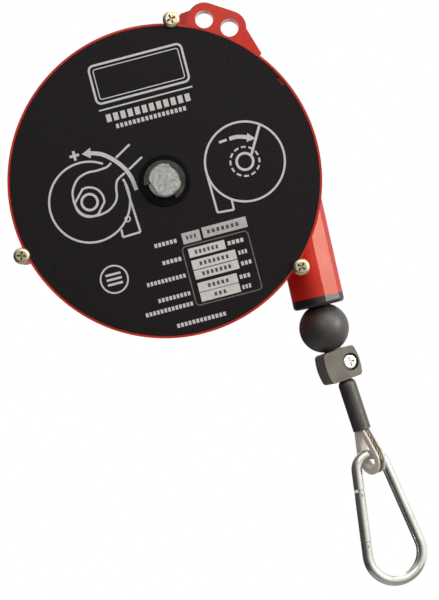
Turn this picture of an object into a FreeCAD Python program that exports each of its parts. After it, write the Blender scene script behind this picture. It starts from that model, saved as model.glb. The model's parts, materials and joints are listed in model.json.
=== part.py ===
"""Spring balancer for a hand tool: a cast housing with a rope drum on a power spring.

The drum axis runs front to back along Y, the front faces -Y and the rope leaves straight down.
Sizes are worked out about the drum axis, and every piece is then placed so that the
suspension hole of the lug lies at the origin.
"""
import FreeCAD, Part
import math
import os
import Sketcher
from types import SimpleNamespace

Vector = FreeCAD.Vector
doc = FreeCAD.newDocument("tool_balancer")

# ---------------------------------------------------------------- driving sizes, mm and degrees
SIZES = {
    # housing
    "rim_radius": 93.0, "housing_draft": 1.2, "front_depth": 36.0, "back_depth": 36.0,
    "wall": 4.5, "back_corner": 20.0, "rear_boss_radius": 21.0, "rear_boss_height": 4.0,
    "rear_bore_depth": 6.5,
    # lug with the two suspension holes
    "hang_reach": 10.1, "hang_angle": 25.6, "lug_angle": 31.0, "lug_pitch": 16.3,
    "lug_hole_radius": 5.5, "lug_edge": 10.2, "lug_depth": 12.0, "web_depth": 7.0,
    # rope outlet
    "nose_radius": 15.6, "nose_bottom": 86.9, "nose_top": 12.0, "nose_bore": 11.0,
    "nose_bore_depth": 47.0,
    # cover, its bush and its screws
    "rim_edge": 1.5, "cover_gap": 0.2, "cover_thickness": 3.0, "cover_hole": 12.0,
    "bush_flange_radius": 15.3, "bush_flange_height": 0.8, "bush_spigot": 4.5,
    "screw_offset": 2.2, "screw_angle": 15.0, "screw_boss_radius": 4.9,
    "screw_boss_depth": 24.0, "screw_boss_rise": 8.0, "screw_boss_slope": 11.0,
    "screw_hole_radius": 2.1, "screw_hole_depth": 16.0, "screw_head_radius": 5.0,
    "screw_head_height": 3.4, "screw_length": 14.0, "recess_width": 1.1, "recess_span": 5.4,
    "recess_depth": 1.8, "thread_gap": 0.1,
    "notch_angle": 62.0, "notch_length": 6.0, "notch_depth": 2.2,
    # shaft and its ring
    "shaft_radius": 9.75, "arbor_radius": 13.0, "rear_journal_radius": 8.0, "shaft_front": 43.0,
    "flat_distance": 7.4, "flat_angle": 21.0, "running_gap": 0.05,
    "ring_radius": 12.3, "ring_groove_radius": 8.6, "ring_thickness": 1.4, "ring_opening": 112.0,
    "ring_turn": 236.0,
    # ratchet and pawl
    "ratchet_radius": 26.0, "ratchet_teeth": 16, "ratchet_turn": 6.4, "tooth_depth": 3.0,
    "ratchet_thickness": 5.0, "ratchet_back": 26.0, "pivot_radius": 48.0, "pawl_gap": 0.3,
    "pawl_lean": 4.8, "pawl_boss": 6.5, "pawl_arm": 6.0, "pawl_tail": 37.5,
    "pawl_pin_radius": 2.0, "pawl_pin_seat": 1.8, "pawl_boss_height": 1.6,
    "spring_seat_reach": 17.6, "pawl_spring_radius": 2.6, "pawl_spring_wire": 0.7,
    "pawl_spring_turns": 6, "pawl_spring_length": 13.4, "seat_radius": 3.4, "seat_depth": 3.0,
    # drum
    "rope_radius": 1.5, "grooves": 6, "groove_pitch": 3.6, "groove_rise": 0.6, "groove_gap": 0.1,
    "groove_half_width": 1.45, "flange_gap": 6.5, "flange_rise": 7.4, "flange_thickness": 2.6,
    "case_step": 4.6, "case_wall": 6.0, "case_front": 22.0, "drum_web_front": 4.0,
    "drum_web": 4.0, "drum_back": 30.0, "drum_hub_radius": 18.0, "drum_bore": 12.0,
    "lid_thickness": 2.0, "lid_edge": 1.0, "washer_thickness": 1.2, "ferrule_radius": 3.0,
    "ferrule_length": 7.0,
    # power spring
    "spring_turns": 8, "strip_thickness": 1.2, "strip_gap": 0.3, "strip_width": 23.4,
    # rope bush and stop ball
    "outlet_collar": 5.8, "outlet_spigot": 13.0, "outlet_throat": 2.2, "outlet_mouth": 8.0,
    "outlet_edge": 2.2, "seat_gap": 0.3, "ball_step": 13.8, "ball_radius": 15.2,
    "ball_collar_radius": 5.2, "ball_collar_length": 14.6, "ball_bend": 40.0,
    # rope clamp
    "clamp_step": 24.2, "chain_lean": 8.4, "clamp_lean": 6.0, "clamp_spin": 22.0,
    "clamp_width": 21.7, "clamp_height": 19.0, "clamp_depth": 13.8, "clamp_split": 0.8,
    "clamp_corner": 2.7, "clamp_bow": 31.0, "clamp_line": 0.7, "clamp_line_depth": 3.0,
    "clamp_screw_x": 5.55, "clamp_counterbore": 5.4, "counterbore_depth": 3.5,
    "clamp_head_radius": 4.9, "clamp_head_height": 2.6, "clamp_shank": 2.0, "nut_flats": 7.0,
    "nut_height": 3.0,
    # sleeve, ferrule, thimble and rope eye
    "sleeve_step": 33.7, "sleeve_lean": 5.5, "sleeve_radius": 5.5, "sleeve_length": 32.0,
    "sleeve_bend": 60.0, "sleeve_wall": 0.9, "sleeve_dome": 3.8, "strand_gap": 1.6,
    "crimp_top": 3.5, "crimp_length": 17.5, "eye_spin": 58.0, "eye_drop": 50.0,
    "eye_radius": 8.6, "eye_taper": 19.0, "eye_bend": 10.0, "thimble_edge": 1.6,
    "thimble_bore": 6.2, "thimble_thickness": 5.6, "thimble_channel": 3.2, "thimble_top": 32.2,
    "thimble_web": 3.6,
    # spring hook
    "hook_x": 83.9, "hook_step": 56.8, "hook_lean": 2.9, "hook_yaw": 10.0, "hook_wire": 3.3,
    "hook_small": 9.4, "hook_large": 17.1, "hook_centres": 52.8, "gate_top": 11.4,
    "gate_bottom": 43.0, "tongue_thickness": 2.4, "gate_slot": 2.8, "hinge_drop": 3.3,
    "hinge_gap": 0.25, "rivet_radius": 1.2, "rivet_length": 6.8, "catch_radius": 1.1,
    "catch_rise": 3.0, "gate_gap": 0.35,
}


class Size:
    """A length or an angle: its value now, and the sheet formula that gives it."""

    def __init__(self, value, formula):
        self.value = value
        self.formula = formula

    def __add__(self, other):
        other = as_size(other)
        return Size(self.value + other.value, f"({self.formula} + {other.formula})")

    def __sub__(self, other):
        other = as_size(other)
        return Size(self.value - other.value, f"({self.formula} - {other.formula})")

    def __mul__(self, other):
        other = as_size(other)
        return Size(self.value * other.value, f"({self.formula} * {other.formula})")

    def __truediv__(self, other):
        other = as_size(other)
        return Size(self.value / other.value, f"({self.formula} / {other.formula})")

    def __neg__(self):
        return Size(-self.value, f"(0 - {self.formula})")

    def __radd__(self, other):
        return as_size(other) + self

    def __rtruediv__(self, other):
        return as_size(other) / self

    def __rsub__(self, other):
        return as_size(other) - self

    def __rmul__(self, other):
        return as_size(other) * self


def as_size(number):
    return number if isinstance(number, Size) else Size(float(number), f"{float(number):.6f}")


def sine(angle):
    angle = as_size(angle)
    return Size(math.sin(math.radians(angle.value)), f"sin({angle.formula} * 1 deg)")


def cosine(angle):
    angle = as_size(angle)
    return Size(math.cos(math.radians(angle.value)), f"cos({angle.formula} * 1 deg)")


def root(number):
    return Size(math.sqrt(number.value), f"sqrt({number.formula})")


def make_sheet():
    sheet = doc.addObject("Spreadsheet::Sheet", "Sizes")
    for row, (name, value) in enumerate(SIZES.items(), start=1):
        sheet.set(f"A{row}", name)
        sheet.set(f"B{row}", str(value))
        sheet.setAlias(f"B{row}", name)
    doc.recompute()
    return SimpleNamespace(**{name: Size(float(value), f"Sizes.{name}")
                              for name, value in SIZES.items()})


s = make_sheet()

# ---------------------------------------------------------------- sizes that follow from these
s.cover_radius = s.rim_radius - s.rim_edge
s.screw_circle = s.rim_radius + s.screw_offset
s.flange_radius = s.rim_radius - s.wall - s.flange_gap
s.rope_x = s.flange_radius - s.flange_rise
s.case_radius = s.rope_x - s.case_step
s.case_bore = s.case_radius - s.case_wall
s.hang_x = (s.rim_radius + s.hang_reach) * sine(s.hang_angle)
s.hang_z = (s.rim_radius + s.hang_reach) * cosine(s.hang_angle)
s.ball_drop = s.nose_bottom + s.outlet_collar + s.ball_step
s.clamp_drop = s.ball_drop + s.clamp_step
s.sleeve_drop = s.ball_drop + s.sleeve_step
s.hook_drop = s.sleeve_drop + s.hook_step
DRUM_AXIS = (-s.hang_x, as_size(0), -s.hang_z)


# ---------------------------------------------------------------- building blocks
def bind(thing, name, size):
    thing.setExpression(name, as_size(size).formula)


def seat(thing, steps):
    """Place a thing by steps in order: (x, y, z) moves it, (axis, angle) turns it."""
    formulas = []
    for step in steps:
        move = step if len(step) == 3 else (0, 0, 0)
        axis, angle = step if len(step) == 2 else ((0, 0, 1), 0)
        spot = "create(<<vector>>; %s; %s; %s)" % tuple(as_size(a).formula for a in move)
        about = "create(<<vector>>; %g; %g; %g)" % axis
        turn = f"create(<<rotation>>; {about}; {as_size(angle).formula})"
        formulas.append(f"create(<<placement>>; {spot}; {turn})")
    thing.setExpression("Placement", " * ".join(formulas))
    return thing


def place(thing, at=(0, 0, 0), turns=()):
    """Put a finished piece at a point given from the drum axis, then follow further steps."""
    return seat(thing, [tuple(as_size(a) + b for a, b in zip(at, DRUM_AXIS)), *turns])


def new_body(label, at=(0, 0, 0), turns=()):
    body = doc.addObject("PartDesign::Body", label)
    body.Label = label
    return place(body, at, turns)


def own(body, role):
    return next(o for o in body.Origin.OriginFeatures if o.Role == role)


def attach(body, plane, offset):
    outline = body.newObject("Sketcher::SketchObject", body.Name + "_outline")
    outline.AttachmentSupport = [(own(body, plane), "")]
    outline.MapMode = "FlatFace"
    bind(outline, "AttachmentOffset.Base.z", offset)
    return outline


def arc_between(start, end, bend):
    """Arc from start to end of radius |bend|, turning left where bend is positive."""
    middle = (start + end) * 0.5
    chord = end - start
    side = Vector(-chord.y, chord.x, 0).normalize()
    height = math.sqrt(max(bend * bend - chord.Length ** 2 / 4, 0.0))
    centre = middle + side * (height if bend > 0 else -height)
    first, last = (start, end) if bend > 0 else (end, start)
    circle = Part.Circle(centre, Vector(0, 0, 1), abs(bend))
    from_angle = math.atan2(first.y - centre.y, first.x - centre.x)
    to_angle = math.atan2(last.y - centre.y, last.x - centre.x)
    return Part.ArcOfCircle(circle, from_angle, to_angle)


def draw(body, plane, corners, offset=0):
    """Closed outline on one of the body's own planes.

    A corner is (u, v), reached by a straight edge, or (u, v, bend), reached by an arc.
    """
    outline = attach(body, plane, offset)
    points = [(as_size(c[0]), as_size(c[1])) for c in corners]
    spots = [Vector(u.value, v.value, 0) for u, v in points]
    tips = []
    for index, corner in enumerate(corners):
        if len(corner) == 3:
            bend = as_size(corner[2])
            outline.addGeometry(arc_between(spots[index - 1], spots[index], bend.value), False)
            tips.append((1, 2) if bend.value > 0 else (2, 1))
        else:
            outline.addGeometry(Part.LineSegment(spots[index - 1], spots[index]), False)
            tips.append((1, 2))
    for index, corner in enumerate(corners):
        after = (index + 1) % len(corners)
        outline.addConstraint(
            Sketcher.Constraint("Coincident", index, tips[index][1], after, tips[after][0]))
        for kind, size in zip(("DistanceX", "DistanceY"), points[index]):
            fix(outline, kind, size, -1, 1, index, tips[index][1])
        if len(corner) == 3:
            bend = as_size(corner[2])
            fix(outline, "Radius", bend if bend.value > 0 else -bend, index)
    return outline


def draw_circle(body, plane, radius, at=(0, 0), offset=0):
    outline = attach(body, plane, offset)
    spot = [as_size(a) for a in at]
    radius = as_size(radius)
    centre = Vector(spot[0].value, spot[1].value, 0)
    outline.addGeometry(Part.Circle(centre, Vector(0, 0, 1), radius.value), False)
    fix(outline, "DistanceX", spot[0], -1, 1, 0, 3)
    fix(outline, "DistanceY", spot[1], -1, 1, 0, 3)
    fix(outline, "Radius", radius, 0)
    return outline


def fix(outline, kind, size, *where):
    index = outline.addConstraint(Sketcher.Constraint(kind, *where, size.value))
    outline.setExpression(f"Constraints[{index}]", size.formula)


def pad(body, outline, length, reverse=False, both_ways=False):
    feature = body.newObject("PartDesign::Pad", body.Name + "_pad")
    feature.Profile = outline
    feature.Reversed = reverse
    feature.SideType = "Symmetric" if both_ways else "One side"
    bind(feature, "Length", length)
    return feature


def pocket(body, outline, length, reverse=False, both_ways=False):
    feature = body.newObject("PartDesign::Pocket", body.Name + "_pocket")
    feature.Profile = outline
    feature.Reversed = reverse
    feature.SideType = "Symmetric" if both_ways else "One side"
    bind(feature, "Length", length)
    return feature


def spin(body, outline, cut=False):
    kind = "Groove" if cut else "Revolution"
    feature = body.newObject("PartDesign::" + kind, f"{body.Name}_{kind.lower()}")
    feature.Profile = outline
    feature.ReferenceAxis = (outline, ["V_Axis"])
    feature.Angle = 360
    return feature


def repeat(body, features, count):
    doc.recompute()
    pattern = body.newObject("PartDesign::PolarPattern", body.Name + "_pattern")
    pattern.Originals = features
    pattern.Axis = (own(body, "Y_Axis"), [""])
    pattern.Angle = 360
    bind(pattern, "Occurrences", count)
    body.Tip = pattern
    return pattern


def turned(corners, angle, at=(0, 0)):
    """Corners turned clockwise by an angle and moved."""
    result = []
    for u, v, *bend in corners:
        x = as_size(at[0]) + u * cosine(angle) + v * sine(angle)
        z = as_size(at[1]) - u * sine(angle) + v * cosine(angle)
        result.append((x, z, *bend))
    return result


def cylinder(name, radius, length, at=(0, 0, 0), turns=()):
    piece = doc.addObject("Part::Cylinder", name)
    bind(piece, "Radius", radius)
    bind(piece, "Height", length)
    return place(piece, at, turns)


def group(label, pieces):
    """Several separate solids under one name."""
    compound = doc.addObject("Part::Compound", label)
    compound.Label = label
    compound.Links = pieces
    return compound


FRONT = ((1, 0, 0), 90)    # turns +Z to the front, -Y
BACK = ((1, 0, 0), -90)    # turns +Z to the back, +Y


# ---------------------------------------------------------------- housing
def lug_middle():
    """Point midway between the two lug holes."""
    half = s.lug_pitch / 2
    return s.hang_x + half * cosine(s.lug_angle), s.hang_z - half * sine(s.lug_angle)


def nose_outline(body, offset):
    """Round tube with two flats and a fine groove on its outer side."""
    radius = s.nose_radius
    flat = radius * 0.26, radius * -0.966
    ridge = radius * 0.76, radius * -0.65
    lip = radius * 0.81, radius * -0.62
    side = radius, radius * -0.3
    front = [flat, ridge, lip, side]
    back = [(x, -y) for x, y in reversed(front)]
    corners = [(s.rope_x + x, y) for x, y in front + back]
    corners.append((s.rope_x - radius, 0, radius))
    corners[0] = (*corners[0], radius)
    return draw(body, "XY_Plane", corners, offset)


def screw_spot():
    return s.screw_circle * sine(s.screw_angle), s.screw_circle * cosine(s.screw_angle)


def make_housing():
    body = new_body("housing_body")
    back = s.back_depth
    boss_back = back + s.rear_boss_height
    inner_back = back - s.wall
    cavity = s.rim_radius - s.wall
    ledge = s.cover_thickness - s.front_depth
    seat = s.cover_radius + s.cover_gap
    bore = s.rear_journal_radius + s.running_gap
    small = s.rim_radius - s.housing_draft
    spin(body, draw(body, "XY_Plane", [
        (0, -s.front_depth), (s.rim_radius, -s.front_depth), (small, back - s.back_corner),
        (small - s.back_corner, back, s.back_corner), (s.rear_boss_radius + 2, back),
        (s.rear_boss_radius, boss_back), (0, boss_back)]))
    boss_start = s.front_depth - s.screw_boss_depth
    boss = pad(body, draw_circle(body, "XZ_Plane", s.screw_boss_radius, screw_spot(), boss_start),
               s.screw_boss_depth)
    repeat(body, [boss], 3)
    peak = s.rim_radius + s.screw_boss_rise
    spin(body, draw(body, "XY_Plane", [
        (s.rim_radius, -boss_start), (peak, -boss_start - s.screw_boss_slope),
        (peak, -boss_start)]), cut=True)
    pad(body, nose_outline(body, -s.nose_bottom), s.nose_bottom - s.nose_top)
    middle = lug_middle()
    half = s.lug_pitch / 2
    reach = half + s.lug_edge
    web = turned([(-28, -20), (-24, -4), (-23, -1), (-18.4, 2.6), (-15, 6), (15, 6),
                  (17.6, 3.4), (31.4, -8.4), (27, -22)], s.lug_angle, middle)
    pad(body, draw(body, "XZ_Plane", web, -s.web_depth / 2), s.web_depth)
    block = turned([(-reach, -17), (-reach, 0), (-half, s.lug_edge, -s.lug_edge),
                    (half, s.lug_edge), (reach, 0, -s.lug_edge), (reach, -17)],
                   s.lug_angle, middle)
    pad(body, draw(body, "XZ_Plane", block, -s.lug_depth / 2), s.lug_depth)
    spin(body, draw(body, "XY_Plane", [
        (0, -s.front_depth), (seat, -s.front_depth), (seat, ledge), (cavity, ledge),
        (cavity, back - s.back_corner), (cavity - s.back_corner + s.wall, inner_back,
                                         s.back_corner - s.wall),
        (bore, inner_back), (bore, inner_back + s.rear_bore_depth),
        (0, inner_back + s.rear_bore_depth)]), cut=True)
    pocket(body, draw_circle(body, "XY_Plane", s.nose_bore, (s.rope_x, 0), -s.nose_bottom),
           s.nose_bore_depth, reverse=True)
    for along in (-half, half):
        hole = turned([(along, 0)], s.lug_angle, middle)[0]
        pocket(body, draw_circle(body, "XZ_Plane", s.lug_hole_radius, hole), s.lug_depth + 2,
               both_ways=True)
    screw_start = s.front_depth - s.screw_hole_depth
    hole = pocket(body, draw_circle(body, "XZ_Plane", s.screw_hole_radius, screw_spot(),
                                    screw_start), s.screw_hole_depth, reverse=True)
    repeat(body, [hole], 3)


def make_cover():
    body = new_body("cover_disc")
    front = s.front_depth
    back = front - s.cover_thickness
    pad(body, draw_circle(body, "XZ_Plane", s.cover_radius, (0, 0), back), s.cover_thickness)
    pivot = pawl_pivot()
    pad(body, draw_circle(body, "XZ_Plane", s.pawl_boss, pivot, back - s.pawl_boss_height),
        s.pawl_boss_height)
    bracket_x = pivot[0] + s.spring_seat_reach
    bracket_top = spring_bottom() - s.thread_gap
    size = s.seat_radius
    bracket_depth = back - s.ratchet_back + 0.6
    pad(body, draw(body, "XZ_Plane", [
        (bracket_x - size, bracket_top - 3), (bracket_x + size, bracket_top - 3),
        (bracket_x + size, bracket_top), (bracket_x - size, bracket_top)],
        back - bracket_depth), bracket_depth)
    pocket(body, draw_circle(body, "XZ_Plane", s.cover_hole, (0, 0), back), s.cover_thickness,
           reverse=True)
    pocket(body, draw_circle(body, "XZ_Plane", s.pawl_pin_radius, pivot,
                             back - s.pawl_boss_height), s.pawl_boss_height + s.pawl_pin_seat,
           reverse=True)
    half = s.notch_length / 2
    outer = s.cover_radius + 1
    inner = s.cover_radius - s.notch_depth
    notch = turned([(-half, inner), (half, inner), (half, outer), (-half, outer)],
                   s.notch_angle)
    pocket(body, draw(body, "XZ_Plane", notch, back), s.cover_thickness, reverse=True)


def make_cover_bush():
    body = new_body("cover_bush")
    bore = s.shaft_radius + s.running_gap
    front = -s.front_depth - s.bush_flange_height
    spin(body, draw(body, "XY_Plane", [
        (bore, front), (s.bush_flange_radius - 0.5, front),
        (s.bush_flange_radius, front + 0.5), (s.bush_flange_radius, -s.front_depth),
        (s.cover_hole, -s.front_depth), (s.cover_hole, s.bush_spigot - s.front_depth),
        (bore, s.bush_spigot - s.front_depth)]))


def pan_screw(name, head_radius, head_height, shank_radius, length, at, turns):
    """Pan head screw with a cross recess; the seat of its head is at its own origin."""
    body = new_body(name, at, turns)
    crown = head_height * 0.6
    spin(body, draw(body, "XZ_Plane", [
        (0, -length), (shank_radius, -length), (shank_radius, 0), (head_radius, 0),
        (head_radius, head_height - crown), (head_radius - crown, head_height, crown),
        (0, head_height)]))
    floor = head_height - s.recess_depth
    for wide, tall in ((s.recess_span / 2, s.recess_width / 2),
                       (s.recess_width / 2, s.recess_span / 2)):
        bar = draw(body, "XY_Plane", [(-wide, -tall), (wide, -tall), (wide, tall), (-wide, tall)],
                   floor)
        pocket(body, bar, s.recess_depth + 1, reverse=True)
    return body


def make_cover_screws():
    screws = []
    for number in range(3):
        angle = s.screw_angle + 120 * number
        spot = (s.screw_circle * sine(angle), -s.front_depth, s.screw_circle * cosine(angle))
        screws.append(pan_screw(f"cover_screw_{number + 1}", s.screw_head_radius,
                                s.screw_head_height, s.screw_hole_radius - s.thread_gap,
                                s.screw_length, spot, [FRONT, ((0, 0, 1), angle)]))
    group("cover_screws", screws)


# ---------------------------------------------------------------- adjuster: shaft, ring, ratchet
def make_shaft():
    body = new_body("main_shaft")
    arbor_back = s.drum_web_front - s.strip_gap
    journal_back = s.back_depth - s.wall - s.strip_gap
    end = s.back_depth - s.wall + s.rear_bore_depth - 0.5
    groove_back = -s.front_depth - s.bush_flange_height - s.running_gap
    groove_front = groove_back - s.ring_thickness - s.running_gap
    edge = s.shaft_radius - 0.8
    spin(body, draw(body, "XY_Plane", [
        (0, -s.shaft_front), (edge, -s.shaft_front), (s.shaft_radius, -s.shaft_front + 0.8),
        (s.shaft_radius, groove_front), (s.ring_groove_radius, groove_front),
        (s.ring_groove_radius, groove_back), (s.shaft_radius, groove_back),
        (s.shaft_radius, -s.ratchet_back), (s.arbor_radius, -s.ratchet_back),
        (s.arbor_radius, arbor_back), (s.shaft_radius, arbor_back),
        (s.shaft_radius, journal_back), (s.rear_journal_radius, journal_back),
        (s.rear_journal_radius, end), (0, end)]))
    far = s.shaft_radius + 1
    for side in (-1, 1):
        flat = turned([(side * s.flat_distance, -far), (side * far, -far), (side * far, far),
                       (side * s.flat_distance, far)], -s.flat_angle)
        pocket(body, draw(body, "XZ_Plane", flat, -groove_front), s.shaft_front, reverse=True)


def make_retaining_ring():
    body = new_body("retaining_ring")
    back = s.front_depth + s.bush_flange_height + s.running_gap
    start = s.ring_turn + s.ring_opening / 2
    finish = s.ring_turn - s.ring_opening / 2
    middle = s.ring_turn + 180
    inner = s.ring_groove_radius
    outer = s.ring_radius
    corners = [(inner * cosine(start), inner * sine(start)),
               (outer * cosine(start), outer * sine(start)),
               (outer * cosine(middle), outer * sine(middle), outer),
               (outer * cosine(finish), outer * sine(finish), outer),
               (inner * cosine(finish), inner * sine(finish)),
               (inner * cosine(middle), inner * sine(middle), -inner)]
    corners[0] = (*corners[0], -inner)
    pad(body, draw(body, "XZ_Plane", corners, back), s.ring_thickness)


def make_ratchet_wheel():
    body = new_body("ratchet_wheel")
    pad(body, draw_circle(body, "XZ_Plane", s.ratchet_radius, (0, 0), s.ratchet_back),
        s.ratchet_thickness)
    pocket(body, draw_circle(body, "XZ_Plane", s.shaft_radius, (0, 0), s.ratchet_back),
           s.ratchet_thickness, reverse=True)
    bottom = s.ratchet_radius - s.tooth_depth
    step = 360 / s.ratchet_teeth
    outer = s.ratchet_radius + 1
    tooth = turned([
        (0, bottom), (bottom * sine(step * 0.12), bottom * cosine(step * 0.12)),
        (outer * sine(step * 0.86), outer * cosine(step * 0.86)), (0, outer)], s.ratchet_turn)
    gap = pocket(body, draw(body, "XZ_Plane", tooth, s.ratchet_back), s.ratchet_thickness,
                 reverse=True)
    repeat(body, [gap], s.ratchet_teeth)


def pawl_pivot():
    return s.pivot_radius * sine(s.notch_angle), s.pivot_radius * cosine(s.notch_angle)


def spring_bottom():
    """Height of the lower end of the pawl's spring."""
    return spring_top() - s.pawl_spring_length


def spring_top():
    rise = s.spring_seat_reach * cosine(s.notch_angle) / sine(s.notch_angle)
    return pawl_pivot()[1] + rise - s.pawl_arm / 2 - s.seat_depth - s.thread_gap


def make_pawl():
    """Two-armed lever: its nose reaches the wheel's tooth tips, its tail the notch in the cover."""
    body = new_body("pawl")
    x, z = pawl_pivot()
    start = s.ratchet_back
    arm = root(s.pivot_radius * s.pivot_radius - s.ratchet_radius * s.ratchet_radius)
    pad(body, draw_circle(body, "XZ_Plane", s.pawl_boss, (x, z), start), s.ratchet_thickness)
    nose = turned([(0, 5.5), (-arm + 6, 8.6), (-arm, 6), (-arm, s.pawl_gap),
                   (-arm + 3.2, 2.0), (0, -1)], s.pawl_lean, (x, z))
    pad(body, draw(body, "XZ_Plane", nose, start), s.ratchet_thickness)
    half = s.pawl_arm / 2
    tail = turned([(-half, 0), (half, 0), (half, s.pawl_tail), (-half, s.pawl_tail)],
                  s.notch_angle, (x, z))
    pad(body, draw(body, "XZ_Plane", tail, start), s.ratchet_thickness)
    seat_x = x + s.spring_seat_reach
    seat_low = spring_top() + s.thread_gap
    size = s.seat_radius
    pad(body, draw(body, "XZ_Plane", [
        (seat_x - size, seat_low), (seat_x + size, seat_low),
        (seat_x + size, seat_low + s.seat_depth + 2), (seat_x - size, seat_low + s.seat_depth)],
        start), s.ratchet_thickness)
    pocket(body, draw_circle(body, "XZ_Plane", s.pawl_pin_radius + s.running_gap, (x, z), start),
           s.ratchet_thickness, reverse=True)


def make_pawl_pin():
    x, z = pawl_pivot()
    front = s.front_depth - s.cover_thickness + s.pawl_pin_seat
    pin = cylinder("pawl_pin", s.pawl_pin_radius, front - s.ratchet_back + 0.8, (x, -front, z),
                   [BACK])
    pin.Label = "pawl_pin"


def make_pawl_spring():
    turns = SIZES["pawl_spring_turns"]
    radius = SIZES["pawl_spring_radius"]
    length = SIZES["pawl_spring_length"] - 2 * SIZES["thread_gap"]
    wire = SIZES["pawl_spring_wire"] / 2
    helix = Part.makeHelix((length - 2 * wire) / turns, length - 2 * wire, radius)
    circle = Part.Wire([Part.makeCircle(wire, Vector(radius, 0, 0), Vector(0, 1, 0))])
    coil = helix.makePipeShell([circle], True, True)
    spring = doc.addObject("Part::Feature", "pawl_spring")
    spring.Shape = coil
    spring.Label = "pawl_spring"
    depth = s.ratchet_back + s.ratchet_thickness / 2
    low = spring_bottom() + s.pawl_spring_wire / 2 + s.thread_gap
    place(spring, (pawl_pivot()[0] + s.spring_seat_reach, -depth, low))


# ---------------------------------------------------------------- drum and power spring
def groove_place(number):
    """Pitch radius and depth of one rope groove; the first lies in the plane of the outlet."""
    return s.rope_x + number * s.groove_rise, number * s.groove_pitch


def make_drum():
    body = new_body("rope_drum")
    half = s.groove_half_width
    curve = s.rope_radius + s.groove_gap
    sink = root(curve * curve - half * half)
    count = SIZES["grooves"]
    first = groove_place(0)[1] - half - 0.9
    last = groove_place(count - 1)[1] + half + 0.9
    grooves = []
    for number in range(count):
        pitch, depth = groove_place(number)
        grooves.append((pitch - sink, depth - half))
        grooves.append((pitch - sink, depth + half, -curve))
    low = groove_place(0)[0] - sink
    high = groove_place(count - 1)[0] - sink
    chamber = s.drum_web_front
    web_back = chamber + s.drum_web
    flange_back = last + s.flange_thickness
    case_front = -s.case_front
    lid_seat = s.case_bore + s.lid_edge
    spin(body, draw(body, "XY_Plane", [
        (s.drum_bore, chamber), (s.case_bore, chamber), (s.case_bore, case_front + s.lid_thickness),
        (lid_seat, case_front + s.lid_thickness), (lid_seat, case_front),
        (s.case_radius, case_front), (s.case_radius, first - s.flange_thickness),
        (s.flange_radius, first - s.flange_thickness), (s.flange_radius, first), (low, first),
        *grooves, (high, last), (s.flange_radius, last), (s.flange_radius, flange_back),
        (s.case_bore, flange_back), (s.case_bore, web_back), (s.drum_hub_radius, web_back),
        (s.drum_hub_radius, s.drum_back), (s.drum_bore, s.drum_back)]))
    ferrule_z = s.case_radius + s.ferrule_radius / 2
    pocket(body, draw_circle(body, "XZ_Plane", s.ferrule_radius + s.thread_gap, (0, ferrule_z),
                             -flange_back), s.ferrule_length - 1, reverse=True)
    return flange_back, ferrule_z


def make_drum_fittings(flange_back, ferrule_z):
    ferrule = cylinder("rope_anchor_ferrule", s.ferrule_radius, s.ferrule_length,
                       (0, flange_back + 1, ferrule_z), [FRONT])
    ferrule.Label = "rope_anchor_ferrule"
    lid = new_body("spring_case_lid")
    front = -s.case_front
    spin(lid, draw(lid, "XY_Plane", [
        (s.arbor_radius + s.strip_gap, front), (s.case_bore + s.lid_edge - s.running_gap, front),
        (s.case_bore + s.lid_edge - s.running_gap, front + s.lid_thickness),
        (s.arbor_radius + s.strip_gap, front + s.lid_thickness)]))
    bush = new_body("drum_bush")
    spin(bush, draw(bush, "XY_Plane", [
        (s.shaft_radius + s.running_gap, s.drum_web_front), (s.drum_bore, s.drum_web_front),
        (s.drum_bore, s.drum_back), (s.shaft_radius + s.running_gap, s.drum_back)]))
    washer = new_body("thrust_washer")
    inner_back = s.back_depth - s.wall
    spin(washer, draw(washer, "XY_Plane", [
        (s.shaft_radius + s.running_gap, inner_back - s.washer_thickness),
        (s.drum_hub_radius, inner_back - s.washer_thickness), (s.drum_hub_radius, inner_back),
        (s.shaft_radius + s.running_gap, inner_back)]))


def make_power_spring():
    """Flat steel strip wound in half circles about two centres a half pitch apart."""
    turns = SIZES["spring_turns"]
    thick = SIZES["strip_thickness"]
    start = SIZES["arbor_radius"] + SIZES["strip_gap"]
    end = s.case_bore.value - SIZES["strip_gap"] / 2 - thick
    half_pitch = (end - start) / turns / 2

    def edges(grow):
        arcs = []
        for number in range(2 * turns):
            radius = start + number * half_pitch + grow
            centre = Vector(0 if number % 2 == 0 else half_pitch, 0, 0)
            circle = Part.Circle(centre, Vector(0, 0, 1), radius)
            begin = number * math.pi
            arcs.append(Part.ArcOfCircle(circle, begin, begin + math.pi).toShape())
        return arcs

    inner = edges(0)
    outer = edges(thick)
    caps = [Part.makeLine(Vector(tip, 0, 0), Vector(tip + thick, 0, 0)) for tip in (start, end)]
    outline = Part.Wire(Part.__sortEdges__(inner + outer + caps))
    strip = Part.Face(outline).extrude(Vector(0, 0, SIZES["strip_width"]))
    spring = doc.addObject("Part::Feature", "power_spring")
    spring.Shape = strip
    spring.Label = "power_spring"
    clear = (s.case_front - s.lid_thickness + s.drum_web_front - s.strip_width) / 2
    place(spring, (0, s.drum_web_front - clear, 0), [FRONT])


def make_wound_rope():
    turns = []
    for number in range(SIZES["grooves"]):
        radius, depth = groove_place(number)
        turn = doc.addObject("Part::Torus", f"rope_turn_{number + 1}")
        bind(turn, "Radius1", radius)
        bind(turn, "Radius2", s.rope_radius)
        turn.Angle3 = 310 if number == 0 else 360
        place(turn, (0, depth, 0), [FRONT])
        turns.append(turn)
    group("wound_rope", turns)


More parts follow.
